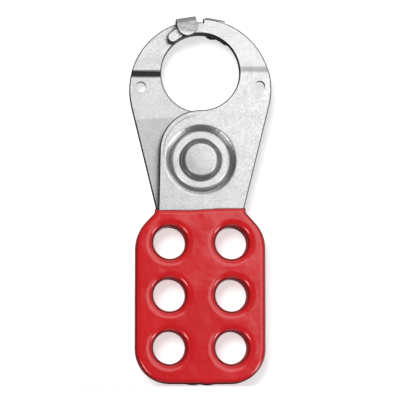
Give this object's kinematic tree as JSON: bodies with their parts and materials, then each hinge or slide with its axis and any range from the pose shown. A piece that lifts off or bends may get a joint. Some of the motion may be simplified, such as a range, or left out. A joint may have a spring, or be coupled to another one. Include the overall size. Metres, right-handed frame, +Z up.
{
  "type": "lockout hasp",
  "caption": "Scissor-action steel lockout hasp with a round 1 in jaw and a red vinyl-dipped handle pierced by padlock holes.",
  "frame": {"origin": "under the pivot rivet, in the middle of the handles' bottom edges", "axes": "+Z up from the handles to the jaw, -Y out of the front leg, +X to the right seen from the front"},
  "size_m": [0.0462, 0.011, 0.12],
  "materials": {
    "plated_steel": "satin zinc plate",
    "rivet_steel": "satin zinc plate",
    "red_vinyl": "glossy dip coating"
  },
  "bodies": {
    "pivot": {"pivot_rivet": "rivet_steel", "front_pivot_washer": "rivet_steel", "rear_pivot_washer": "rivet_steel"},
    "front_leg": {"front_leg": "plated_steel", "front_handle_coating": "red_vinyl"},
    "rear_leg": {"rear_leg": "plated_steel", "rear_handle_coating": "red_vinyl"}
  },
  "joints": [
    {"name": "front_leg_swing", "type": "hinge", "parent": "pivot", "child": "front_leg", "pos_m": [0, 0, 0.0727], "axis": [0, 1, 0], "range_deg": [0, 21]},
    {"name": "rear_leg_swing", "type": "hinge", "parent": "pivot", "child": "rear_leg", "pos_m": [0, 0, 0.0727], "axis": [0, -1, 0], "range_deg": [0, 21]}
  ]
}
